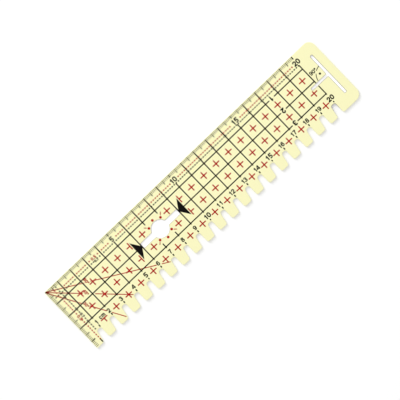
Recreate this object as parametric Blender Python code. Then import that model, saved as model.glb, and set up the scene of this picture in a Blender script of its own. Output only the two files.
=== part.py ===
"""Ironing hem gauge: one flat sheet of heat-resistant plastic, cut to shape.

One long edge is the edge of a centimetre scale. The other is a comb, whose notches
each have their straight wall at a whole centimetre. A compass window goes through
the sheet near the zero end and a T-shaped slot near the far end.

Lengths are in metres and Z is up. The sheet lies on its plain face with the printed
face on top, its scale along +X and its scale edge towards +Y. The origin is on the
surface that the sheet lies on, under the middle of the sheet.
"""

from math import acos, atan2, ceil, cos, pi, sin, sqrt, tan

import bmesh
import bpy
from mathutils import Vector

MM = 0.001

# Sheet
SCALE_LENGTH = 200 * MM
END_MARGIN = 15 * MM
SHEET_WIDTH = 45 * MM
SHEET_THICKNESS = 1.0 * MM
ZERO_CORNER_RADIUS = 0.4 * MM
FAR_CORNER_RADIUS = 4.5 * MM
EDGE_BREAK = 0.12 * MM

# Comb of notches
NOTCH_PITCH = 10 * MM
NOTCH_DEPTH = 7.7 * MM
NOTCH_ROOT_WIDTH = 3.2 * MM
NOTCH_MOUTH_WIDTH = 4.65 * MM
NOTCH_ROOT_RADIUS = 1.15 * MM
TOOTH_TIP_RADIUS = 1.2 * MM

# Compass window: a round hole with a straight slot through it
WINDOW_FROM_ZERO = 75 * MM
WINDOW_FROM_SCALE_EDGE = 20 * MM
WINDOW_RADIUS = 5.5 * MM
WINDOW_SLOT_LENGTH = 29.2 * MM
WINDOW_SLOT_WIDTH = 3.6 * MM
WINDOW_SLOT_END_RADIUS = 0.4 * MM
WINDOW_FILLET = 0.8 * MM

# T-shaped slot, centred across the sheet
T_BAR_FROM_FAR_END = 6.0 * MM
T_BAR_LENGTH = 29.7 * MM
T_STEM_LENGTH = 13.5 * MM
T_SLOT_WIDTH = 1.7 * MM
T_SLOT_END_RADIUS = 0.5 * MM

# Facets: the most that a chord lies inside its arc, and the gap that counts as closed
ARC_TOLERANCE = 0.01 * MM
WELD_GAP = 0.005 * MM
SHARP_ANGLE = pi / 6

SHEET_LENGTH = SCALE_LENGTH + END_MARGIN
WINDOW_CENTRE = Vector((WINDOW_FROM_ZERO, -WINDOW_FROM_SCALE_EDGE))
T_BAR_CENTRE = Vector((SHEET_LENGTH - T_BAR_FROM_FAR_END, -SHEET_WIDTH / 2))


def clear_scene():
    """Remove the objects that Blender starts with."""
    for item in list(bpy.data.objects):
        bpy.data.objects.remove(item, do_unlink=True)


def arc(centre, radius, start, sweep):
    """Return the points of an arc, its two ends included."""
    step = 2 * acos(1 - min(ARC_TOLERANCE / radius, 1))
    count = max(2, ceil(abs(sweep) / step))
    angles = [start + sweep * index / count for index in range(count + 1)]
    return [centre + radius * Vector((cos(angle), sin(angle))) for angle in angles]


def rounded_corner(before, corner, after, radius):
    """Return the arc that rounds one corner of an outline, no longer than half its shorter side."""
    to_before = before - corner
    to_after = after - corner
    half_angle = to_before.angle(to_after) / 2
    longest = min(to_before.length, to_after.length) / 2
    reach = min(radius / tan(half_angle), longest)
    radius = reach * tan(half_angle)
    bisector = (to_before.normalized() + to_after.normalized()).normalized()
    centre = corner + bisector * (reach / cos(half_angle))
    first = corner + to_before.normalized() * reach - centre
    last = corner + to_after.normalized() * reach - centre
    sweep = atan2(first.cross(last), first.dot(last))
    return arc(centre, radius, atan2(first.y, first.x), sweep)


def rounded_outline(corners):
    """Return a closed outline from its corners, each a point with its radius."""
    points = []
    for index, (corner, radius) in enumerate(corners):
        before = corners[index - 1][0]
        after = corners[(index + 1) % len(corners)][0]
        points += rounded_corner(before, corner, after, radius)
    return points


def notch_corners(straight_wall):
    """Return one notch's corners, from its straight wall back to its slanted wall."""
    mouth = -SHEET_WIDTH
    root = mouth + NOTCH_DEPTH
    return [
        (Vector((straight_wall, mouth)), TOOTH_TIP_RADIUS),
        (Vector((straight_wall, root)), NOTCH_ROOT_RADIUS),
        (Vector((straight_wall - NOTCH_ROOT_WIDTH, root)), NOTCH_ROOT_RADIUS),
        (Vector((straight_wall - NOTCH_MOUTH_WIDTH, mouth)), TOOTH_TIP_RADIUS),
    ]


def sheet_outline():
    """Return the outer edge: scale edge, far end, comb from the far end to zero, zero end."""
    corners = [
        (Vector((0, 0)), ZERO_CORNER_RADIUS),
        (Vector((SHEET_LENGTH, 0)), FAR_CORNER_RADIUS),
        (Vector((SHEET_LENGTH, -SHEET_WIDTH)), FAR_CORNER_RADIUS),
    ]
    notch_count = round(SCALE_LENGTH / NOTCH_PITCH)
    for number in range(notch_count, 0, -1):
        corners += notch_corners(number * NOTCH_PITCH)
    corners.append((Vector((0, -SHEET_WIDTH)), ZERO_CORNER_RADIUS))
    return rounded_outline(corners)


def window_outline():
    """Return the compass window, from one quarter of it mirrored across both its axes."""
    half_length = WINDOW_SLOT_LENGTH / 2
    half_width = WINDOW_SLOT_WIDTH / 2
    end_centre = Vector((half_length - WINDOW_SLOT_END_RADIUS, half_width - WINDOW_SLOT_END_RADIUS))
    fillet_height = half_width + WINDOW_FILLET
    fillet_reach = sqrt((WINDOW_RADIUS + WINDOW_FILLET) ** 2 - fillet_height ** 2)
    meeting = atan2(fillet_height, fillet_reach)
    quarter = arc(end_centre, WINDOW_SLOT_END_RADIUS, 0, pi / 2)
    quarter += arc(Vector((fillet_reach, fillet_height)), WINDOW_FILLET, -pi / 2, meeting - pi / 2)
    quarter += arc(Vector((0, 0)), WINDOW_RADIUS, meeting, pi / 2 - meeting)[1:]
    upper = quarter + [Vector((-point.x, point.y)) for point in reversed(quarter[:-1])]
    lower = [Vector((point.x, -point.y)) for point in reversed(upper)]
    return [WINDOW_CENTRE + point for point in upper + lower]


def t_slot_outline():
    """Return the T-shaped slot: a bar across the sheet and a stem from it towards zero."""
    half_slot = T_SLOT_WIDTH / 2
    half_bar = T_BAR_LENGTH / 2
    corners = [
        (half_slot, half_bar),
        (half_slot, -half_bar),
        (-half_slot, -half_bar),
        (-half_slot, -half_slot),
        (-T_STEM_LENGTH, -half_slot),
        (-T_STEM_LENGTH, half_slot),
        (-half_slot, half_slot),
        (-half_slot, half_bar),
    ]
    return rounded_outline([(T_BAR_CENTRE + Vector(corner), T_SLOT_END_RADIUS) for corner in corners])


def plastic(name, colour, roughness):
    """Return a Principled BSDF material for moulded or cut plastic."""
    material = bpy.data.materials.new(name)
    material.use_nodes = True
    shader = material.node_tree.nodes["Principled BSDF"]
    shader.inputs["Base Color"].default_value = (*colour, 1)
    shader.inputs["Roughness"].default_value = roughness
    shader.inputs["Metallic"].default_value = 0
    return material


def flat_sheet(name, outlines, thickness, edge_break):
    """Return a curve object: a filled flat shape with holes, as thick as the sheet.

    Its sharp edges are broken by a one-step bevel. A bevel grows the outline by its own
    width, and the offset takes that back.
    """
    curve = bpy.data.curves.new(name, "CURVE")
    curve.dimensions = "2D"
    curve.fill_mode = "BOTH"
    curve.extrude = thickness / 2 - edge_break
    curve.bevel_depth = edge_break
    curve.bevel_resolution = 0
    curve.offset = -edge_break
    for outline in outlines:
        spline = curve.splines.new("POLY")
        spline.points.add(len(outline) - 1)
        for point, place in zip(spline.points, outline):
            point.co = (place.x, place.y, 0, 1)
        spline.use_cyclic_u = True
    sheet = bpy.data.objects.new(name, curve)
    sheet.location = (-SHEET_LENGTH / 2, SHEET_WIDTH / 2, thickness / 2)
    return sheet


def welded_mesh(curve_object, collection):
    """Return a closed mesh object made from a curve object, which is removed."""
    name = curve_object.name
    collection.objects.link(curve_object)
    bpy.context.view_layer.update()
    evaluated = curve_object.evaluated_get(bpy.context.evaluated_depsgraph_get())
    mesh = bpy.data.meshes.new_from_object(evaluated)
    shell = bmesh.new()
    shell.from_mesh(mesh)
    bmesh.ops.remove_doubles(shell, verts=shell.verts, dist=WELD_GAP)
    bmesh.ops.recalc_face_normals(shell, faces=shell.faces)
    shell.to_mesh(mesh)
    shell.free()
    place = curve_object.matrix_world.copy()
    bpy.data.objects.remove(curve_object, do_unlink=True)
    solid = bpy.data.objects.new(name, mesh)
    solid.matrix_world = place
    collection.objects.link(solid)
    return solid


def gauge_blade(collection):
    """Return the whole gauge, which is one cut sheet with its sharp edges broken."""
    outlines = [sheet_outline(), window_outline(), t_slot_outline()]
    blade = welded_mesh(flat_sheet("gauge_blade", outlines, SHEET_THICKNESS, EDGE_BREAK), collection)
    blade.data.shade_smooth()
    blade.data.set_sharp_from_angle(angle=SHARP_ANGLE)
    blade.data.materials.append(plastic("pale_yellow_plastic", (0.93, 0.9, 0.53), 0.45))
    return blade


clear_scene()
gauge = bpy.data.collections.new("ironing_hem_gauge")
bpy.context.scene.collection.children.link(gauge)
gauge_blade(gauge)
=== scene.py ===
"""Ironing hem gauge, dressed for its picture.

A flat sheet of pale yellow heat-resistant plastic, printed on its top face in black and
red with a centimetre grid, scales, figures, dotted lines, crosses and angle lines.

Lengths are in metres and Z is up. Places on the sheet are in centimetres, as the gauge
itself counts them: u runs along the scale from its zero corner, and v runs across the
sheet from the scale edge to the comb.
"""

from math import cos, pi, radians, sin

import bmesh
import bpy
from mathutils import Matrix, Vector


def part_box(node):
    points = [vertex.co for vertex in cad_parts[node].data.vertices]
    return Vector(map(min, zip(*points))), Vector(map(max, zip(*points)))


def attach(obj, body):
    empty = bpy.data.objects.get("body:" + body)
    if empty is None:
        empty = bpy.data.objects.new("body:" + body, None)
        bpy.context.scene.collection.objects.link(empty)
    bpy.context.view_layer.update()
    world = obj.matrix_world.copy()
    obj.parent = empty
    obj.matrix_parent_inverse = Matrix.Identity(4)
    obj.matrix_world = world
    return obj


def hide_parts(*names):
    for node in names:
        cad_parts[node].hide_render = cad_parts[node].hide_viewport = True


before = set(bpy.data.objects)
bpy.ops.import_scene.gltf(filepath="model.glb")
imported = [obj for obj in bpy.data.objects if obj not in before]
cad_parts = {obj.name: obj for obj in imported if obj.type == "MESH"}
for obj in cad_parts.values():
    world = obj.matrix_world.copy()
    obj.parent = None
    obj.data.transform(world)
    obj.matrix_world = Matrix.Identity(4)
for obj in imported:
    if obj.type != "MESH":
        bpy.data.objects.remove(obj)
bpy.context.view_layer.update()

# The sheet
# One piece of heat-resistant plastic, pale yellow right through, with a fine fibre grain. It
# is cut to shape in one pass, and its sharp edges are broken. The cut leaves the outer edges a
# little deeper in colour than the faces. The walls of the window and the T-shaped slot are
# painted dark, a painted shade for the shade that falls inside those narrow openings.

MM = 0.001
CM = 0.01
INK_FILM = 0.02 * MM
MERGE_DISTANCE = 0.001 * MM
SHARP_ANGLE = pi / 6
SHEET_COLOUR = (0.975, 0.948, 0.55)
OUTER_CUT_COLOUR = (0.94, 0.91, 0.53)
# A dark painted shade on the walls of the window and the T-shaped slot.
OPENING_WALL_PAINTED_SHADE = (0.22, 0.19, 0.13)
SHEET_FINISH = {"Clouds": 0.02, "Fibres": 0.05, "Roughness": 0.46, "Roughness Spread": 0.25}
SHEET_RELIEF = 0.004 * MM
SHEET_GLOSS = 0.5
CLOUDS_PER_METRE = 140
CLOUD_DETAIL = 3
FIBRES_END_TO_END = 350
FIBRES_SIDE_BY_SIDE = 3200
UPRIGHT_ON_FACE = 0.95
UPRIGHT_ON_CUT = 0.8
WINDOW_AREA = ((5.9, 1.3), (9.1, 2.7))
T_SLOT_AREA = ((19.4, 0.6), (21.1, 3.9))

low_corner, high_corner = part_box("gauge_blade")
zero_corner = Vector((low_corner.x, high_corner.y, 0))
bare_top = high_corner.z - INK_FILM


def add_node(tree, kind, feeds=None, **choices):
    """Add a node to a tree. Feeds are its inputs, each a value or another node's output."""
    made = tree.nodes.new(kind)
    for label, choice in choices.items():
        setattr(made, label, choice)
    for label, feed in (feeds or {}).items():
        if isinstance(feed, bpy.types.NodeSocket):
            tree.links.new(feed, made.inputs[label])
        else:
            made.inputs[label].default_value = feed
    return made


def maths(tree, operation, *values, **choices):
    """Add a maths node to a tree and return its result. A value is a number or a node's output."""
    feeds = dict(enumerate(values))
    return add_node(tree, "ShaderNodeMath", feeds, operation=operation, **choices).outputs[0]


def add_sockets(tree, direction, sockets):
    """Give a node tree its named inputs or outputs, each with the kind of value it carries."""
    for label, kind in sockets.items():
        tree.interface.new_socket(label, in_out=direction, socket_type=f"NodeSocket{kind}")


def fine_grain_group():
    """Return the grain that the sheet and its inks share: soft clouds and short crossed fibres."""
    group = bpy.data.node_groups.new("fine_grain", "ShaderNodeTree")
    add_sockets(group, "INPUT", {
        "Colour": "Color", "Clouds": "Float", "Fibres": "Float",
        "Roughness": "Float", "Roughness Spread": "Float",
    })
    add_sockets(group, "OUTPUT", {"Colour": "Color", "Roughness": "Float", "Height": "Float"})
    given = add_node(group, "NodeGroupInput").outputs
    place = add_node(group, "ShaderNodeTexCoord").outputs["Object"]
    clouds = add_node(group, "ShaderNodeTexNoise", {
        "Vector": place, "Scale": CLOUDS_PER_METRE, "Detail": CLOUD_DETAIL,
    })
    threads = []
    for fibres_per_metre in (
        (FIBRES_END_TO_END, FIBRES_SIDE_BY_SIDE, FIBRES_SIDE_BY_SIDE),
        (FIBRES_SIDE_BY_SIDE, FIBRES_END_TO_END, FIBRES_SIDE_BY_SIDE),
    ):
        stretched = add_node(
            group, "ShaderNodeVectorMath", {0: place, 1: fibres_per_metre}, operation="MULTIPLY")
        thread = add_node(group, "ShaderNodeTexNoise", {"Vector": stretched.outputs[0], "Scale": 1})
        threads.append(thread.outputs[0])
    crossed = maths(group, "MAXIMUM", *threads)

    def swing(noise, amount):
        """Return a noise centred on zero and scaled by an amount."""
        return maths(group, "MULTIPLY", maths(group, "SUBTRACT", noise, 0.5), amount)

    cloudy = maths(group, "ADD", swing(clouds.outputs[0], given["Clouds"]), 1)
    shade = maths(group, "ADD", cloudy, swing(crossed, given["Fibres"]))
    tint = add_node(group, "ShaderNodeHueSaturation", {"Color": given["Colour"], "Value": shade})
    roughness_swing = swing(crossed, given["Roughness Spread"])
    rough = maths(group, "ADD", given["Roughness"], roughness_swing, use_clamp=True)
    add_node(group, "NodeGroupOutput", {
        "Colour": tint.outputs[0], "Roughness": rough, "Height": crossed,
    })
    return group


def grained_material(name, colour, finish, relief, gloss):
    """Return a Principled material whose colour, roughness and relief have the shared grain."""
    material = bpy.data.materials.new(name)
    material.use_nodes = True
    tree = material.node_tree
    feeds = {"Colour": (*colour, 1), **finish}
    grain = add_node(tree, "ShaderNodeGroup", feeds, node_tree=fine_grain)
    bump = add_node(tree, "ShaderNodeBump", {"Height": grain.outputs["Height"], "Distance": relief})
    shader = tree.nodes["Principled BSDF"]
    shader.inputs["Specular IOR Level"].default_value = gloss
    tree.links.new(grain.outputs["Colour"], shader.inputs["Base Color"])
    tree.links.new(grain.outputs["Roughness"], shader.inputs["Roughness"])
    tree.links.new(bump.outputs[0], shader.inputs["Normal"])
    return material


def sheet_material():
    """Return the sheet's plastic, deeper in colour on its cut walls, which don't face up or down, and
    with painted shade on the walls of the window and the T-shaped slot.
    """
    material = grained_material(
        "pale_yellow_plastic", SHEET_COLOUR, SHEET_FINISH, SHEET_RELIEF, SHEET_GLOSS)
    tree = material.node_tree
    base_colour = tree.nodes["Principled BSDF"].inputs["Base Color"]
    face_colour = base_colour.links[0].from_socket
    normal = add_node(tree, "ShaderNodeTexCoord").outputs["Normal"]
    facing = add_node(tree, "ShaderNodeSeparateXYZ", {0: normal})
    upright = maths(tree, "ABSOLUTE", facing.outputs["Z"])
    cut = add_node(tree, "ShaderNodeMapRange", {
        "Value": upright, "From Min": UPRIGHT_ON_FACE, "From Max": UPRIGHT_ON_CUT,
    })
    # The walls of the window and the T-shaped slot take the dark painted shade.
    painted_shade_mask = add_node(tree, "ShaderNodeAttribute", attribute_name="painted_shade_walls")
    edge_and_painted_shade = add_node(tree, "ShaderNodeMix", {
        "Factor": painted_shade_mask.outputs["Fac"], "A": (*OUTER_CUT_COLOUR, 1), "B": (*OPENING_WALL_PAINTED_SHADE, 1),
    }, data_type="RGBA")
    colour = add_node(tree, "ShaderNodeMix", {
        "Factor": cut.outputs[0], "A": face_colour, "B": edge_and_painted_shade.outputs["Result"],
    }, data_type="RGBA")
    tree.links.new(colour.outputs["Result"], base_colour)
    return material


def cut_sheet():
    """Return the sheet as cut, its top face lower by one film of ink, so that the print ends flush."""
    shell = bmesh.new()
    shell.from_mesh(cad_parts["gauge_blade"].data)
    bmesh.ops.remove_doubles(shell, verts=shell.verts, dist=MERGE_DISTANCE)
    for corner in shell.verts:
        corner.co.z = min(corner.co.z, bare_top)
    shell.verts.index_update()
    places = [corner.co for corner in shell.verts]
    faces = [[corner.index for corner in face.verts] for face in shell.faces]
    mesh = bpy.data.meshes.new("gauge_sheet")
    mesh.from_pydata(places, [], faces)
    shell.free()
    mesh.shade_smooth()
    mesh.set_sharp_from_angle(angle=SHARP_ANGLE)
    # Mark the points round the window and the T-shaped slot, whose walls take a painted shade.
    painted_shade_mask = mesh.attributes.new("painted_shade_walls", "FLOAT", "POINT")
    for corner in mesh.vertices:
        u = (corner.co.x - zero_corner.x) / CM
        v = (zero_corner.y - corner.co.y) / CM
        painted_shade_mask.data[corner.index].value = any(
            first[0] < u < last[0] and first[1] < v < last[1]
            for first, last in (WINDOW_AREA, T_SLOT_AREA))
    mesh.materials.append(sheet_material())
    sheet = bpy.data.objects.new("gauge_sheet", mesh)
    bpy.context.scene.collection.objects.link(sheet)
    return sheet


fine_grain = fine_grain_group()
sheet = cut_sheet()
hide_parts("gauge_blade")
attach(sheet, "root")

# The millimetre marks
# Short black marks at each millimetre and longer ones at each half centimetre, along the
# scale edge and the zero end. They are screen printed in a heat-proof ink that dries to a
# dull film, and they start just inside the broken edge.

BLACK = (0.004, 0.0035, 0.003)
RED = (0.45, 0.006, 0.008)
INK_FINISH = {"Clouds": 0.3, "Fibres": 0.3, "Roughness": 0.6, "Roughness Spread": 0.2}
INK_RELIEF = 0.002 * MM
INK_GLOSS = 0.05
INK_ROOT = 0.01 * MM
LAYER_STEP = 0.001 * MM
RED_BELOW_BLACK = 6 * LAYER_STEP
PRINT_MARGIN = 0.012
SHORT_WIDTH = 0.32 * MM
HALF_WIDTH = 0.53 * MM
SHORT_MARK = 0.205
HALF_MARK = 0.3
MARKS_PER_CM = 10
SCALE_END = 20
ZERO_END_LAYER = 3

inks = {}
for ink_name, ink_colour, ink_top in (
    ("black_ink", BLACK, high_corner.z),
    ("red_ink", RED, high_corner.z - RED_BELOW_BLACK),
):
    ink_material = grained_material(ink_name, ink_colour, INK_FINISH, INK_RELIEF, INK_GLOSS)
    inks[ink_name] = {"material": ink_material, "top": ink_top}


def ink_thickness(ink):
    """Return how thick an ink's film is, with the part that has sunk into the sheet."""
    return inks[ink]["top"] - bare_top + INK_ROOT


def on_sheet(ink, u, v, layer=0):
    """Return the point at u and v centimetres on the sheet, half way through the ink's film.

    Marks that cross have different layers, each a thousandth of a millimetre below the one
    before, so that no two of their faces lie in one plane.
    """
    depth = ink_thickness(ink) / 2 + layer * LAYER_STEP
    return zero_corner + Vector((u * CM, -v * CM, inks[ink]["top"] - depth))


def print_tree(name, inputs):
    """Start a Geometry Nodes tree for print. Return it, its inputs and a way to finish it."""
    tree = bpy.data.node_groups.new(name, "GeometryNodeTree")
    add_sockets(tree, "INPUT", {
        "Geometry": "Geometry", **inputs, "Ink Thickness": "Float", "Finish": "Material",
    })
    add_sockets(tree, "OUTPUT", {"Geometry": "Geometry"})
    given = add_node(tree, "NodeGroupInput").outputs

    def finish(shape):
        """End the tree: instances become real and take the ink."""
        real = add_node(tree, "GeometryNodeRealizeInstances", {0: shape})
        inked = add_node(tree, "GeometryNodeSetMaterial", {
            "Geometry": real.outputs[0], "Material": given["Finish"],
        })
        add_node(tree, "NodeGroupOutput", {0: inked.outputs[0]})
        return tree

    return tree, given, finish


def millimetre_marks_tree():
    """Return a tree that rules a row of marks, longer at half centimetres, none at whole ones."""
    tree, given, finish = print_tree("millimetre_marks", {
        "Count": "Int", "First Mark": "Vector", "Step": "Vector", "Direction": "Vector",
        "Short Mark": "Float", "Half Mark": "Float", "Short Width": "Float", "Half Width": "Float",
    })
    row = add_node(tree, "GeometryNodeMeshLine", {
        "Count": given["Count"], "Start Location": given["First Mark"], "Offset": given["Step"],
    }, mode="OFFSET")
    index = add_node(tree, "GeometryNodeInputIndex").outputs[0]

    def past_every(number):
        """Return how far each mark's number is past the last of every so many marks."""
        return maths(tree, "MODULO", index, number)

    at_half = maths(tree, "LESS_THAN", past_every(MARKS_PER_CM / 2), 0.5)
    kept = maths(tree, "GREATER_THAN", past_every(MARKS_PER_CM), 0.5)

    def short_or_half(measure):
        """Return a short mark's length or width, or a half-centimetre mark's where it is one."""
        chosen = add_node(tree, "GeometryNodeSwitch", {
            "Switch": at_half, "False": given[f"Short {measure}"], "True": given[f"Half {measure}"],
        }, input_type="FLOAT")
        return chosen.outputs[0]

    def stretched(direction, size):
        """Return a direction, as a unit vector, times a size."""
        unit = add_node(tree, "ShaderNodeVectorMath", {0: direction}, operation="NORMALIZE")
        made = add_node(
            tree, "ShaderNodeVectorMath", {0: unit.outputs[0], "Scale": size}, operation="SCALE")
        return made.outputs[0]

    reach = stretched(given["Direction"], short_or_half("Mark"))
    breadth = stretched(given["Step"], short_or_half("Width"))
    middle = add_node(tree, "ShaderNodeVectorMath", {0: reach, "Scale": 0.5}, operation="SCALE")
    across = add_node(tree, "ShaderNodeVectorMath", {0: reach, 1: breadth}, operation="ADD")
    flat = add_node(tree, "ShaderNodeVectorMath", {0: across.outputs[0]}, operation="ABSOLUTE")
    film = add_node(tree, "ShaderNodeCombineXYZ", {"Z": given["Ink Thickness"]})
    size = add_node(
        tree, "ShaderNodeVectorMath", {0: flat.outputs[0], 1: film.outputs[0]}, operation="ADD")
    placed = add_node(tree, "GeometryNodeSetPosition", {
        "Geometry": row.outputs[0], "Offset": middle.outputs[0],
    })
    bar = add_node(tree, "GeometryNodeMeshCube", {"Size": (1, 1, 1)})
    marks = add_node(tree, "GeometryNodeInstanceOnPoints", {
        "Points": placed.outputs[0], "Selection": kept, "Instance": bar.outputs["Mesh"],
        "Scale": size.outputs[0],
    })
    return finish(marks.outputs[0])


def printed(name, ink, tree, sizes, places=(), strokes=()):
    """Return a printed piece: a tree's result as a plain mesh that rides on the gauge.

    A place is its u and v, with its layer where marks cross.
    """
    mesh = bpy.data.meshes.new(name)
    mesh.from_pydata([on_sheet(ink, *place) for place in places], strokes, [])
    piece = bpy.data.objects.new(name, mesh)
    bpy.context.scene.collection.objects.link(piece)
    modifier = piece.modifiers.new(tree.name, "NODES")
    modifier.node_group = tree
    given = {**sizes, "Ink Thickness": ink_thickness(ink), "Finish": inks[ink]["material"]}
    for socket in tree.interface.items_tree:
        if socket.in_out == "INPUT" and socket.name in given:
            modifier[socket.identifier] = given[socket.name]
    bpy.context.view_layer.update()
    evaluated = piece.evaluated_get(bpy.context.evaluated_depsgraph_get())
    plain = bpy.data.meshes.new_from_object(evaluated)
    piece.modifiers.clear()
    piece.data = plain
    plain.name = name
    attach(piece, "root")
    return piece


marks_tree = millimetre_marks_tree()
sheet_width = (high_corner.y - low_corner.y) / CM
for row_name, first, step, direction, length in (
    ("scale_edge_marks", (0, PRINT_MARGIN), (MM, 0, 0), (0, -1, 0), SCALE_END),
    ("zero_end_marks", (PRINT_MARGIN, 0, ZERO_END_LAYER), (0, -MM, 0), (1, 0, 0), sheet_width),
):
    printed(row_name, "black_ink", marks_tree, {
        "Count": round(length * MARKS_PER_CM), "First Mark": on_sheet("black_ink", *first),
        "Step": step, "Direction": direction, "Short Width": SHORT_WIDTH, "Half Width": HALF_WIDTH,
        "Short Mark": (SHORT_MARK - PRINT_MARGIN) * CM, "Half Mark": (HALF_MARK - PRINT_MARGIN) * CM,
    })

# The centimetre grid
# Black lines a centimetre apart, three along the sheet and one across it at each figure.
# They stop short of the figures, the window and the T-shaped slot, so that each stays clear.

GRID_WIDTH = 0.69 * MM
ROUND_END_SIDES = 12
ALONG_LAYER = 0
ACROSS_LAYER = 1
ALONG_LINES = (1, 2, 3)
CROSS_LINE_END = 3.08
FIGURE_EVERY = 5
DEPTH_FIGURE_GAP = (17.29, 17.69)
SCALE_FIGURE_GAP = (0.22, 0.69)
WINDOW_LINE_ALONG = 2
WINDOW_LINES_ACROSS = (7, 8)
WINDOW_GAP_ALONG = (5.6, 9.4)
WINDOW_GAP_ACROSS = (1.23, 2.73)
T_SLOT_GAP = (2.14, 2.36)
LONE_MARK_V = 4
LONE_MARK_END = 0.3


def pen_tree():
    """Return a tree that inks the strokes of a path, with square or round ends."""
    tree, given, finish = print_tree("pen_strokes", {"Line Width": "Float", "Round Ends": "Bool"})
    path = add_node(tree, "GeometryNodeMeshToCurve", {"Mesh": given["Geometry"]})
    level = add_node(tree, "GeometryNodeSetCurveNormal", {"Curve": path.outputs[0]}, mode="Z_UP")
    nib = add_node(tree, "GeometryNodeCurvePrimitiveQuadrilateral", {
        "Width": given["Line Width"], "Height": given["Ink Thickness"],
    })
    bars = add_node(tree, "GeometryNodeCurveToMesh", {
        "Curve": level.outputs[0], "Profile Curve": nib.outputs[0], "Fill Caps": True,
    })
    neighbours = add_node(tree, "GeometryNodeInputMeshVertexNeighbors")
    is_end = maths(tree, "LESS_THAN", neighbours.outputs["Vertex Count"], 1.5)
    rounded = maths(tree, "MULTIPLY", is_end, given["Round Ends"])
    radius = maths(tree, "MULTIPLY", given["Line Width"], 0.5)
    thinner = maths(tree, "SUBTRACT", given["Ink Thickness"], LAYER_STEP)
    disc = add_node(tree, "GeometryNodeMeshCylinder", {
        "Vertices": ROUND_END_SIDES, "Radius": radius, "Depth": thinner,
    })
    ends = add_node(tree, "GeometryNodeInstanceOnPoints", {
        "Points": given["Geometry"], "Selection": rounded, "Instance": disc.outputs["Mesh"],
    })
    joined = add_node(tree, "GeometryNodeJoinGeometry")
    tree.links.new(bars.outputs[0], joined.inputs[0])
    tree.links.new(ends.outputs[0], joined.inputs[0])
    return finish(joined.outputs[0])


def inked_strokes(name, ink, width, paths, round_ends=False):
    """Return a piece that inks each path, a list of places.

    A path that ends where it starts is a ring.
    """
    places = []
    strokes = []
    for path in paths:
        start = len(places)
        is_ring = path[0] == path[-1]
        places += path[:-1] if is_ring else path
        strokes += [(index, index + 1) for index in range(start, len(places) - 1)]
        if is_ring:
            strokes.append((len(places) - 1, start))
    return printed(name, ink, pen, {"Line Width": width, "Round Ends": round_ends}, places, strokes)


def stretches(start, end, gaps):
    """Return what is left of a line once its gaps are taken out, as pairs of ends."""
    left = []
    for gap_start, gap_end in gaps:
        left.append((start, gap_start))
        start = gap_end
    return left + [(start, end)]


def grid_paths():
    """Return the grid's lines, and the whole-centimetre mark on the zero end that has no line."""
    paths = [[(PRINT_MARGIN, LONE_MARK_V, ALONG_LAYER), (LONE_MARK_END, LONE_MARK_V, ALONG_LAYER)]]
    for v in ALONG_LINES:
        gaps = [WINDOW_GAP_ALONG] if v == WINDOW_LINE_ALONG else []
        for start, end in stretches(PRINT_MARGIN, SCALE_END, gaps + [DEPTH_FIGURE_GAP]):
            paths.append([(start, v, ALONG_LAYER), (end, v, ALONG_LAYER)])
    for u in range(1, SCALE_END + 1):
        gaps = [SCALE_FIGURE_GAP] if u % FIGURE_EVERY == 0 else []
        if u in WINDOW_LINES_ACROSS:
            gaps.append(WINDOW_GAP_ACROSS)
        if u == SCALE_END:
            gaps.append(T_SLOT_GAP)
        for start, end in stretches(PRINT_MARGIN, CROSS_LINE_END, gaps):
            paths.append([(u, start, ACROSS_LAYER), (u, end, ACROSS_LAYER)])
    return paths


pen = pen_tree()
inked_strokes("grid_lines", "black_ink", GRID_WIDTH, grid_paths())

# The black figures
# Plain figures drawn with an even stroke, as on a drawing stencil. The comb is numbered 1 to
# 20 with a short mark under each figure, the scale edge at every fifth centimetre, and the
# three long lines upside down, so that they read from the comb side.

FIGURE_LAYER = 2
FIGURE_WIDTH = 0.62
FIGURE_STEP = 0.74
NARROW_STEP = {".": 0.3, "°": 0.6, "c": 0.85, "m": 1.1}


def bow(middle_x, middle_y, reach_x, reach_y, start, end, count=12):
    """Return places along part of an oval, between two angles in degrees, in count equal steps."""
    turns = [radians(start + (end - start) * index / count) for index in range(count + 1)]
    return [(middle_x + reach_x * cos(turn), middle_y + reach_y * sin(turn)) for turn in turns]


def closed(path):
    """Return a path that ends exactly where it starts."""
    return path[:-1] + path[:1]


def turned_over(paths):
    """Return a figure turned upside down in its own box."""
    return [[(FIGURE_WIDTH - x, 1 - y) for x, y in path] for path in paths]


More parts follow.
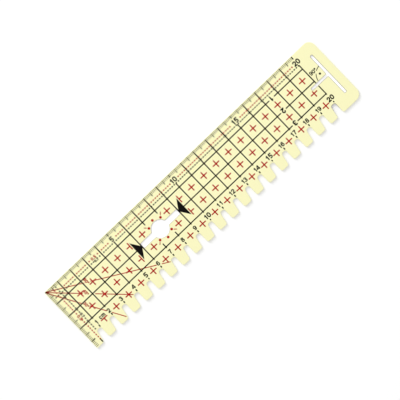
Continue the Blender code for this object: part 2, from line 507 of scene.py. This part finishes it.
# Each figure is a list of strokes in a box 1 tall and about 0.62 wide, x to the right and y up.
SIX = [
    closed(bow(0.31, 0.3, 0.31, 0.3, 180, 540, 18)),
    [(0, 0.3)] + bow(0.35, 0.45, 0.35, 0.55, 180, 52),
]
FIGURES = {
    "0": [closed(
        bow(0.31, 0.62, 0.31, 0.38, 0, 180) + bow(0.31, 0.38, 0.31, 0.38, 180, 360) + [(0.62, 0.62)],
    )],
    "1": [[(0.24, 0.76), (0.37, 0.84), (0.47, 1)], [(0.47, 1), (0.47, 0)]],
    "2": [bow(0.31, 0.7, 0.3, 0.3, 165, -28) + [(0.02, 0)], [(0, 0), (0.62, 0)]],
    "3": [bow(0.29, 0.76, 0.27, 0.24, 155, -90), bow(0.29, 0.26, 0.31, 0.26, 90, -155)],
    "4": [[(0.55, 0), (0.55, 1)], [(0.47, 1), (-0.1, 0.24)], [(-0.1, 0.24), (0.7, 0.24)]],
    "5": [[(0.66, 1), (0.12, 1)], [(0.12, 1), (0.06, 0.56)], bow(0.27, 0.28, 0.35, 0.29, 128, -118)],
    "6": SIX,
    "7": [[(0, 1), (0.62, 1)], [(0.62, 1), (0.4, 0.62), (0.28, 0.3), (0.22, 0)]],
    "8": [
        closed(bow(0.31, 0.77, 0.26, 0.23, -90, 270, 16)),
        closed(bow(0.31, 0.27, 0.31, 0.27, 90, 450, 18)),
    ],
    "9": turned_over(SIX),
    "°": [closed(bow(0.14, 0.84, 0.14, 0.16, 0, 360))],
    ".": [[(0.1, 0), (0.1, 0.03)]],
    "c": [bow(0.36, 0.5, 0.36, 0.5, 48, 312)],
    "m": [
        [(0, 0), (0, 1)],
        [(0, 0.55)] + bow(0.29, 0.6, 0.29, 0.4, 180, 0) + [(0.58, 0)],
        [(0.58, 0.55)] + bow(0.87, 0.6, 0.29, 0.4, 180, 0) + [(1.16, 0)],
    ],
}


def written(text, middle, height, stroke, turn=0, layer=FIGURE_LAYER):
    """Return the paths of some figures centred at a place, turned so many degrees anticlockwise."""
    tall = height - stroke
    steps = [NARROW_STEP.get(sign, FIGURE_STEP) * height for sign in text]
    across = -(sum(steps[:-1]) + FIGURE_WIDTH * tall) / 2
    paths = []
    for sign, step in zip(text, steps):
        for number, path in enumerate(FIGURES[sign]):
            placed = []
            for x, y in path:
                right = across + x * tall
                up = (y - 0.5) * tall
                placed.append((
                    middle[0] + right * cos(radians(turn)) - up * sin(radians(turn)),
                    middle[1] - right * sin(radians(turn)) - up * cos(radians(turn)),
                    layer + number,
                ))
            paths.append(placed)
        across += step
    return paths


COMB_FIGURES_V = 3.365
COMB_HEIGHT = 0.285
COMB_STROKE = 0.061
FIFTH_HEIGHT = 0.32
FIFTH_STROKE = 0.072
SCALE_FIGURE_HEIGHT = 0.33
SCALE_FIGURES_V = 0.465
COMB_MARK_STROKE = 0.08
COMB_MARK = (3.6, 3.67)
FIFTH_MARK = (3.63, 3.66)
LINE_FIGURE_HEIGHT = 0.34
LINE_FIGURES_U = 17.5
LINE_FIGURE_RISE = 0.015
SMALL_STROKE = 0.048
UNIT_STROKE = 0.056
UNIT_HEIGHT = 0.21
SEAM_HEIGHT = 0.17
UNIT_PLACE = (1.46, 3.34)
SEAM_PLACE = (3.54, 0.72)
END_SEAM_PLACE = (0.7, 2.49)

fifths = range(FIGURE_EVERY, SCALE_END + 1, FIGURE_EVERY)
comb_paths = []
fifth_paths = []
mark_paths = []
for number in range(1, SCALE_END + 1):
    if number in fifths:
        fifth_paths += written(str(number), (number, COMB_FIGURES_V), FIFTH_HEIGHT, FIFTH_STROKE)
        fifth_paths += written(str(number), (number, SCALE_FIGURES_V), SCALE_FIGURE_HEIGHT, FIFTH_STROKE)
    else:
        comb_paths += written(str(number), (number, COMB_FIGURES_V), COMB_HEIGHT, COMB_STROKE)
    mark_paths.append([(number, v) for v in (FIFTH_MARK if number in fifths else COMB_MARK)])
for number in ALONG_LINES:
    figure_place = (LINE_FIGURES_U, number - LINE_FIGURE_RISE)
    mark_paths += written(str(number), figure_place, LINE_FIGURE_HEIGHT, COMB_MARK_STROKE, turn=180)
unit_paths = written("cm", UNIT_PLACE, UNIT_HEIGHT, UNIT_STROKE)
seam_paths = written("0.7", SEAM_PLACE, SEAM_HEIGHT, SMALL_STROKE)
seam_paths += written("0.7", END_SEAM_PLACE, SEAM_HEIGHT, SMALL_STROKE, turn=-90)
for name, stroke, paths in (
    ("comb_figures", COMB_STROKE, comb_paths),
    ("fifth_figures", FIFTH_STROKE, fifth_paths),
    ("comb_marks_and_line_figures", COMB_MARK_STROKE, mark_paths),
    ("unit_letters", UNIT_STROKE, unit_paths),
    ("seam_figures", SMALL_STROKE, seam_paths),
):
    inked_strokes(name, "black_ink", stroke * CM, paths, round_ends=True)

# The black dotted lines
# Rows of dots at 0.7 cm from the scale edge and from the zero end, the seam lines of a hem.
# They are part of the black print, and leave room for the figures that name them.

DOT_PITCH = 0.168
DOT_SIDES = 10
BLACK_DOT_RADIUS = 0.049
SEAM = 0.7
SEAM_ROW = (0.301, 20)
END_SEAM_ROW = (0.066, 3.6)
SEAM_ROW_LAYER = 5
END_SEAM_ROW_LAYER = 4
SEAM_LABEL_GAP = (3.33, 3.74)
END_LABEL_GAP = (2.3, 2.68)


def dots_tree():
    """Return a tree that prints a round dot at each of its points."""
    tree, given, finish = print_tree("printed_dots", {"Dot Radius": "Float", "Sides": "Int"})
    dot = add_node(tree, "GeometryNodeMeshCylinder", {
        "Vertices": given["Sides"], "Radius": given["Dot Radius"], "Depth": given["Ink Thickness"],
    })
    dots = add_node(tree, "GeometryNodeInstanceOnPoints", {
        "Points": given["Geometry"], "Instance": dot.outputs["Mesh"],
    })
    return finish(dots.outputs[0])


def dot_row(first, last, gaps=()):
    """Return where a dotted row has its dots, with none in its gaps."""
    count = int((last - first) / DOT_PITCH) + 1
    spots = [first + index * DOT_PITCH for index in range(count)]
    return [spot for spot in spots if not any(start < spot < end for start, end in gaps)]


dots = dots_tree()
black_spots = [(u, SEAM, SEAM_ROW_LAYER) for u in dot_row(*SEAM_ROW, [SEAM_LABEL_GAP])]
black_spots += [(SEAM, v, END_SEAM_ROW_LAYER) for v in dot_row(*END_SEAM_ROW, [END_LABEL_GAP])]
black_dot = {"Dot Radius": BLACK_DOT_RADIUS * CM, "Sides": DOT_SIDES}
printed("black_dots", "black_ink", dots, black_dot, black_spots)

# The arrowheads
# Two solid black arrowheads that point at the ends of the window's slot. They are part of the
# black print, and the middle long line runs into their flat ends.

ARROW_TIPS = ((6.02, -1), (8.98, 1))
ARROW_LENGTH = 0.437
ARROW_HALF_HEIGHT = 0.655
ARROW_CENTRE = 2
ARROW_LAYER = 2


def solid_shape(name, ink, outlines):
    """Return a piece of solid print, each outline a closed prism as thick as the ink."""
    shape = bmesh.new()
    rise = Vector((0, 0, ink_thickness(ink)))
    for outline in outlines:
        corners = [shape.verts.new(on_sheet(ink, *place) - rise / 2) for place in outline]
        made = bmesh.ops.extrude_face_region(shape, geom=[shape.faces.new(corners)])
        lifted = [part for part in made["geom"] if isinstance(part, bmesh.types.BMVert)]
        bmesh.ops.translate(shape, vec=rise, verts=lifted)
    bmesh.ops.recalc_face_normals(shape, faces=shape.faces)
    mesh = bpy.data.meshes.new(name)
    shape.to_mesh(mesh)
    shape.free()
    mesh.materials.append(inks[ink]["material"])
    piece = bpy.data.objects.new(name, mesh)
    bpy.context.scene.collection.objects.link(piece)
    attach(piece, "root")
    return piece


solid_shape("arrowheads", "black_ink", [
    [
        (tip, ARROW_CENTRE, ARROW_LAYER),
        (tip + side * ARROW_LENGTH, ARROW_CENTRE - ARROW_HALF_HEIGHT, ARROW_LAYER),
        (tip + side * ARROW_LENGTH, ARROW_CENTRE + ARROW_HALF_HEIGHT, ARROW_LAYER),
    ]
    for tip, side in ARROW_TIPS
])

# The right-angle mark
# Beside the T-shaped slot, which shows a right angle: a quarter arc, broken in the middle, its
# figure and a dot. All three are part of the black print.

LARGE_DOT_SIDES = 20
T_CROSSING = (20.9, 2.25)
ARC_RADIUS = 0.72
ARC_WIDTH = 0.45 * MM
ARC_TURNS = ((96, 122), (136, 171))
ANGLE_FIGURE_STROKE = 0.051
ANGLE_FIGURE_PLACE = (20.36, 1.54)
ANGLE_FIGURE_HEIGHT = 0.25
ANGLE_DOT_PLACE = (20.555, 1.9)
ANGLE_DOT_RADIUS = 0.68 * MM

arc_paths = [
    [(T_CROSSING[0] + x, T_CROSSING[1] - y) for x, y in bow(0, 0, ARC_RADIUS, ARC_RADIUS, start, end)]
    for start, end in ARC_TURNS
]
inked_strokes("right_angle_arc", "black_ink", ARC_WIDTH, arc_paths)
angle_figure_paths = written("90°", ANGLE_FIGURE_PLACE, ANGLE_FIGURE_HEIGHT, ANGLE_FIGURE_STROKE)
inked_strokes(
    "right_angle_figure", "black_ink", ANGLE_FIGURE_STROKE * CM, angle_figure_paths, round_ends=True)
angle_dot = {"Dot Radius": ANGLE_DOT_RADIUS, "Sides": LARGE_DOT_SIDES}
printed("right_angle_dot", "black_ink", dots, angle_dot, [ANGLE_DOT_PLACE])

# The red dotted lines
# The same rows of dots in dark red, half a centimetre from the scale edge and the zero end.
# They break at each figure, and the one on the zero end stops at a short black line.

RED_DOT_RADIUS = 0.049
HALF = 0.5
RED_ROW = (1.141, 19.76)
RED_END_ROW = (0.182, 4.22)
RED_ROW_GAPS = [(3.23, 3.76), (4.74, 5.26), (9.74, 10.3), (14.74, 15.36)]
RED_END_GAP = (2.34, 2.68)
ROW_END = ((HALF, 4.22), (HALF, 4.46))

red_spots = [(u, HALF) for u in dot_row(*RED_ROW, RED_ROW_GAPS)]
red_spots += [(HALF, v) for v in dot_row(*RED_END_ROW, [RED_END_GAP])]
red_dot = {"Dot Radius": RED_DOT_RADIUS * CM, "Sides": DOT_SIDES}
printed("red_dots", "red_ink", dots, red_dot, red_spots)
inked_strokes("red_row_end", "black_ink", GRID_WIDTH, [list(ROW_END)])

# The red crosses
# One in the middle of each square of the grid and between the comb's figures. Those beside
# the arrowheads and under the unit lack an arm, the one at the T-shaped slot has a short one,
# and the window takes the place of two.

CROSS_ARM = 0.25
SHORT_ARM = 0.16
CROSS_WIDTH = 0.73 * MM
CROSS_LAYERS = (1, 2)
CROSS_ROWS = (1.5, 2.5, 3.5)
MISSING_CROSSES = {(7.5, 1.5), (7.5, 2.5)}
LEFT_ARMS = {(9.5, 1.5): 0, (9.5, 2.5): 0}
RIGHT_ARMS = {(5.5, 1.5): 0, (5.5, 2.5): 0}
UPPER_ARMS = {(1.5, 3.5): 0, (19.5, 2.5): SHORT_ARM}


def cross_paths():
    """Return the two strokes of each cross."""
    paths = []
    along, across = CROSS_LAYERS
    for v in CROSS_ROWS:
        for u in [number + 0.5 for number in range(1, SCALE_END)]:
            if (u, v) in MISSING_CROSSES:
                continue
            left = LEFT_ARMS.get((u, v), CROSS_ARM)
            right = RIGHT_ARMS.get((u, v), CROSS_ARM)
            upper = UPPER_ARMS.get((u, v), CROSS_ARM)
            paths.append([(u - left, v, along), (u + right, v, along)])
            paths.append([(u, v - upper, across), (u, v + CROSS_ARM, across)])
    return paths


inked_strokes("red_crosses", "red_ink", CROSS_WIDTH, cross_paths())

# The angle lines
# Three red lines from a black point in the zero corner, at 30, 45 and 60 degrees to the scale
# edge. Each is named by its angle to the zero end, and breaks at its name and at the comb's
# figures.

ANGLE_WIDTH = 0.53 * MM
ANGLE_LINES = {
    30: (7.62, [(2.42, 2.78), (6.78, 7.09)]),
    45: (5.23, [(2.26, 2.97)]),
    60: (5.02, [(2.34, 2.77), (3.81, 4.13)]),
}
ANGLE_START = 0.075
ZERO_POINT_PLACE = (0.05, 0.05, 1)
ZERO_POINT_RADIUS = 0.35 * MM
FIRST_ANGLE_LAYER = 3
RED_FIGURE_LAYER = 6
RED_FIGURE_STROKE = 0.048
RED_FIGURE_HEIGHT = 0.2
ANGLE_NAMES = {"60°": (2.24, 1.24), "45°": (1.76, 1.7), "30°": (1.28, 2.24)}
HALF_PLACE = (3.49, 0.51)
END_HALF_PLACE = (0.49, 2.5)

angle_paths = []
for layer, (degrees, (length, gaps)) in enumerate(ANGLE_LINES.items(), FIRST_ANGLE_LAYER):
    turn = radians(degrees)
    for ends in stretches(ANGLE_START, length, gaps):
        angle_paths.append([(reach * cos(turn), reach * sin(turn), layer) for reach in ends])
inked_strokes("angle_lines", "red_ink", ANGLE_WIDTH, angle_paths)
zero_point = {"Dot Radius": ZERO_POINT_RADIUS, "Sides": LARGE_DOT_SIDES}
printed("zero_point", "black_ink", dots, zero_point, [ZERO_POINT_PLACE])
red_paths = written("0.5", HALF_PLACE, RED_FIGURE_HEIGHT, RED_FIGURE_STROKE, 0, RED_FIGURE_LAYER)
for text, middle in (*ANGLE_NAMES.items(), ("0.5", END_HALF_PLACE)):
    red_paths += written(text, middle, RED_FIGURE_HEIGHT, RED_FIGURE_STROKE, -90, RED_FIGURE_LAYER)
inked_strokes("red_figures", "red_ink", RED_FIGURE_STROKE * CM, red_paths, round_ends=True)

# The window's marks
# Six red dots round the compass window, and four short red strokes that point away from it.
# They are part of the red print, and help to centre the window on a point.

WINDOW_DOTS = ((7.03, 1.52), (7.5, 1.32), (7.97, 1.52), (7.03, 2.47), (7.5, 2.67), (7.97, 2.47))
WINDOW_STROKES = (
    ((6.83, 1.3), (6.95, 1.42)),
    ((8.05, 1.42), (8.2, 1.28)),
    ((8.05, 2.55), (8.2, 2.69)),
    ((6.95, 2.55), (6.83, 2.67)),
)
WINDOW_DOT_RADIUS = 0.79 * MM
WINDOW_STROKE_WIDTH = 0.5 * MM

window_dot = {"Dot Radius": WINDOW_DOT_RADIUS, "Sides": LARGE_DOT_SIDES}
printed("window_dots", "red_ink", dots, window_dot, WINDOW_DOTS)
window_paths = [list(ends) for ends in WINDOW_STROKES]
inked_strokes("window_strokes", "red_ink", WINDOW_STROKE_WIDTH, window_paths)

# The table
# A plain white table top. To the camera it is as white as the backdrop, with a painted glow of
# its own under the gauge's openings, which lifts the gauge's shadow there to white, and keeps
# only the gauge's soft shadow elsewhere. To everything else it is a pale matt surface.

TABLE_SIZE = 4
TABLE_DROP = 0.01 * MM
PALE = (0.8, 0.8, 0.8, 1)
WHITE = (1, 1, 1, 1)
TABLE_GLOW = 0.05
OPENING_PAINTED_GLOW = 0.36
SHADED_RIM = 0.03
WINDOW_CENTRE = (7.5, 2)
WINDOW_RADIUS = 0.55
STRAIGHT_OPENINGS = (
    ((6.04, 1.82), (8.96, 2.18)),
    ((20.815, 0.765), (20.985, 3.735)),
    ((19.55, 2.165), (20.9, 2.335)),
)


def seen_directly(tree):
    """Return a mask that is 1 for rays that show the background, and 0 for light on the gauge."""
    ray = add_node(tree, "ShaderNodeLightPath").outputs
    seen_or_mirrored = maths(tree, "MAXIMUM", ray["Is Camera Ray"], ray["Is Glossy Ray"])
    return maths(tree, "MAXIMUM", seen_or_mirrored, ray["Is Transmission Ray"])


def depth_in(tree, from_middle, half_size):
    """Return how far inside a straight opening a place is, given as a vector from its middle."""
    away = add_node(tree, "ShaderNodeVectorMath", {0: from_middle}, operation="ABSOLUTE")
    inside = add_node(
        tree, "ShaderNodeVectorMath", {0: half_size, 1: away.outputs[0]}, operation="SUBTRACT")
    sides = add_node(tree, "ShaderNodeSeparateXYZ", {0: inside.outputs[0]})
    return maths(tree, "MINIMUM", sides.outputs["X"], sides.outputs["Y"])


def under_openings(tree):
    """Return a mask that is 1 on the table under the window and T-shaped slot and fades to 0."""
    place = add_node(tree, "ShaderNodeTexCoord").outputs["Object"]

    def from_middle(u, v):
        """Return the vector to each place from a point on the sheet."""
        point = zero_corner + Vector((u * CM, -v * CM, 0))
        away = add_node(tree, "ShaderNodeVectorMath", {0: place, 1: point}, operation="SUBTRACT")
        return away.outputs[0]

    reach = add_node(tree, "ShaderNodeVectorMath", {0: from_middle(*WINDOW_CENTRE)}, operation="LENGTH")
    deepest = maths(tree, "SUBTRACT", WINDOW_RADIUS * CM, reach.outputs["Value"])
    for first, last in STRAIGHT_OPENINGS:
        middle = ((first[0] + last[0]) / 2, (first[1] + last[1]) / 2)
        half_size = ((last[0] - first[0]) / 2 * CM, (last[1] - first[1]) / 2 * CM, 0)
        deepest = maths(tree, "MAXIMUM", deepest, depth_in(tree, from_middle(*middle), half_size))
    faded = add_node(tree, "ShaderNodeMapRange", {
        "Value": deepest, "From Min": 0, "From Max": SHADED_RIM * CM,
    })
    return faded.outputs[0]


def table_material():
    """Return the table's white, a matt surface with a little light of its own for the camera, and a
    painted glow under the gauge's openings.
    """
    material = bpy.data.materials.new("white_table")
    material.use_nodes = True
    tree = material.node_tree
    tree.nodes.clear()
    seen = seen_directly(tree)
    colour = add_node(tree, "ShaderNodeMix", {"Factor": seen, "A": PALE, "B": WHITE}, data_type="RGBA")
    matt = add_node(tree, "ShaderNodeBsdfDiffuse", {"Color": colour.outputs["Result"]})
    # Painted light: under the openings the table glows more for the camera, which takes away the gauge's
    # shadow there.
    glow_level = add_node(tree, "ShaderNodeMapRange", {
        "Value": under_openings(tree), "To Min": TABLE_GLOW, "To Max": OPENING_PAINTED_GLOW,
    })
    lift = maths(tree, "MULTIPLY", seen, glow_level.outputs[0])
    glow = add_node(tree, "ShaderNodeEmission", {"Color": WHITE, "Strength": lift})
    both = add_node(tree, "ShaderNodeAddShader", {0: matt.outputs[0], 1: glow.outputs[0]})
    add_node(tree, "ShaderNodeOutputMaterial", {"Surface": both.outputs[0]})
    return material


half_table = TABLE_SIZE / 2
table_corners = [
    (side_x * half_table, side_y * half_table, -TABLE_DROP)
    for side_x, side_y in ((-1, -1), (1, -1), (1, 1), (-1, 1))
]
table_mesh = bpy.data.meshes.new("table")
table_mesh.from_pydata(table_corners, [], [(0, 1, 2, 3)])
table_mesh.materials.append(table_material())
table = bpy.data.objects.new("table", table_mesh)
bpy.context.scene.collection.objects.link(table)

# The light
# An even white room, and one soft lamp low over the scale edge, which throws the shadow
# that shows along the comb.

ROOM_LIGHT = 0.735
LAMP_SHARE = 0.27
LAMP_DISTANCE = 3
LAMP_HEIGHT_ANGLE = radians(27)
LAMP_WIDTH = 1.8

world = bpy.data.worlds.new("white_room")
world.use_nodes = True
room_tree = world.node_tree
room_tree.nodes.clear()
room_strength = add_node(room_tree, "ShaderNodeMapRange", {
    "Value": seen_directly(room_tree), "To Min": ROOM_LIGHT, "To Max": 1,
})
room = add_node(room_tree, "ShaderNodeBackground", {
    "Color": WHITE, "Strength": room_strength.outputs[0],
})
add_node(room_tree, "ShaderNodeOutputWorld", {"Surface": room.outputs[0]})
bpy.context.scene.world = world

lamp_data = bpy.data.lights.new("soft_lamp", "AREA")
lamp_data.shape = "DISK"
lamp_data.size = LAMP_WIDTH
# The power in watts that lights a level white surface to the lamp's share of plain white.
lamp_data.energy = LAMP_SHARE * pi * pi * LAMP_DISTANCE ** 2 / sin(LAMP_HEIGHT_ANGLE)
lamp = bpy.data.objects.new("soft_lamp", lamp_data)
lamp.location = LAMP_DISTANCE * Vector((0, cos(LAMP_HEIGHT_ANGLE), sin(LAMP_HEIGHT_ANGLE)))
lamp.rotation_euler = (LAMP_HEIGHT_ANGLE - pi / 2, 0, 0)
bpy.context.scene.collection.objects.link(lamp)

# The camera
# Straight above the sheet and far off, so that it looks flat, turned so that the scale
# climbs to the upper right.

CAMERA_LENS = 300
CAMERA_SENSOR = 36
VIEW_WIDTH = 23.454
VIEW_CENTRE = (10.348, 2.389)
VIEW_TURN = radians(-43.76)

camera_data = bpy.data.cameras.new("camera")
camera_data.lens = CAMERA_LENS
camera_data.sensor_width = CAMERA_SENSOR
camera = bpy.data.objects.new("camera", camera_data)
camera.location = on_sheet("black_ink", *VIEW_CENTRE)
camera.location.z = high_corner.z + VIEW_WIDTH * CM * CAMERA_LENS / CAMERA_SENSOR
camera.rotation_euler = (0, 0, VIEW_TURN)
bpy.context.scene.collection.objects.link(camera)
bpy.context.scene.camera = camera
bpy.context.scene.view_settings.view_transform = "Standard"
